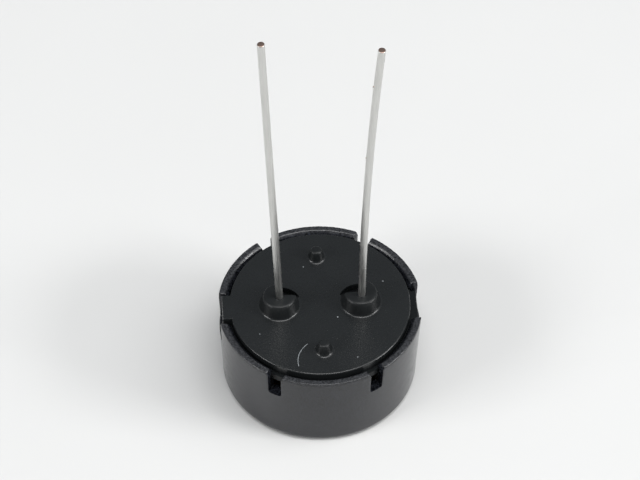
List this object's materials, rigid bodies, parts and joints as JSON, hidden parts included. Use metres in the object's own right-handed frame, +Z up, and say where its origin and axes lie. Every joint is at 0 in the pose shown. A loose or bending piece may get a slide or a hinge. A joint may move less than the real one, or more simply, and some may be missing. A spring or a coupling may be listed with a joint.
{
  "type": "piezo buzzer",
  "caption": "Round black piezo buzzer in a moulded cup with a slotted rim, standing on its sound face, with a snap-in base plate that carries two long splayed wire leads.",
  "frame": {"origin": "centre of the sound face, the flat face with the sound hole that the buzzer stands on", "axes": "+Z up out of the base plate along the leads, +X from the left lead to the right lead"},
  "size_m": [0.0124, 0.0126, 0.0295],
  "materials": {
    "case_plastic": "moulded black plastic with a fine grain and a dull sheen",
    "plate_plastic": "moulded black plastic with a finer grain than the cup",
    "tinned_wire": "tinned copper-clad wire, slightly dull",
    "spring_bronze": "rolled phosphor bronze strip",
    "diaphragm_brass": "rolled brass sheet, smooth",
    "silvered_ceramic": "piezo ceramic with a matt fired silver face",
    "silicone": "cured silicone sealant, slightly shiny"
  },
  "bodies": {
    "root": {"case": "case_plastic", "base_plate": "plate_plastic", "left_lead": "tinned_wire", "right_lead": "tinned_wire", "left_contact_spring": "spring_bronze", "right_contact_spring": "spring_bronze", "diaphragm": "diaphragm_brass", "piezo_disc": "silvered_ceramic", "diaphragm_seal": "silicone"}
  },
  "joints": []
}
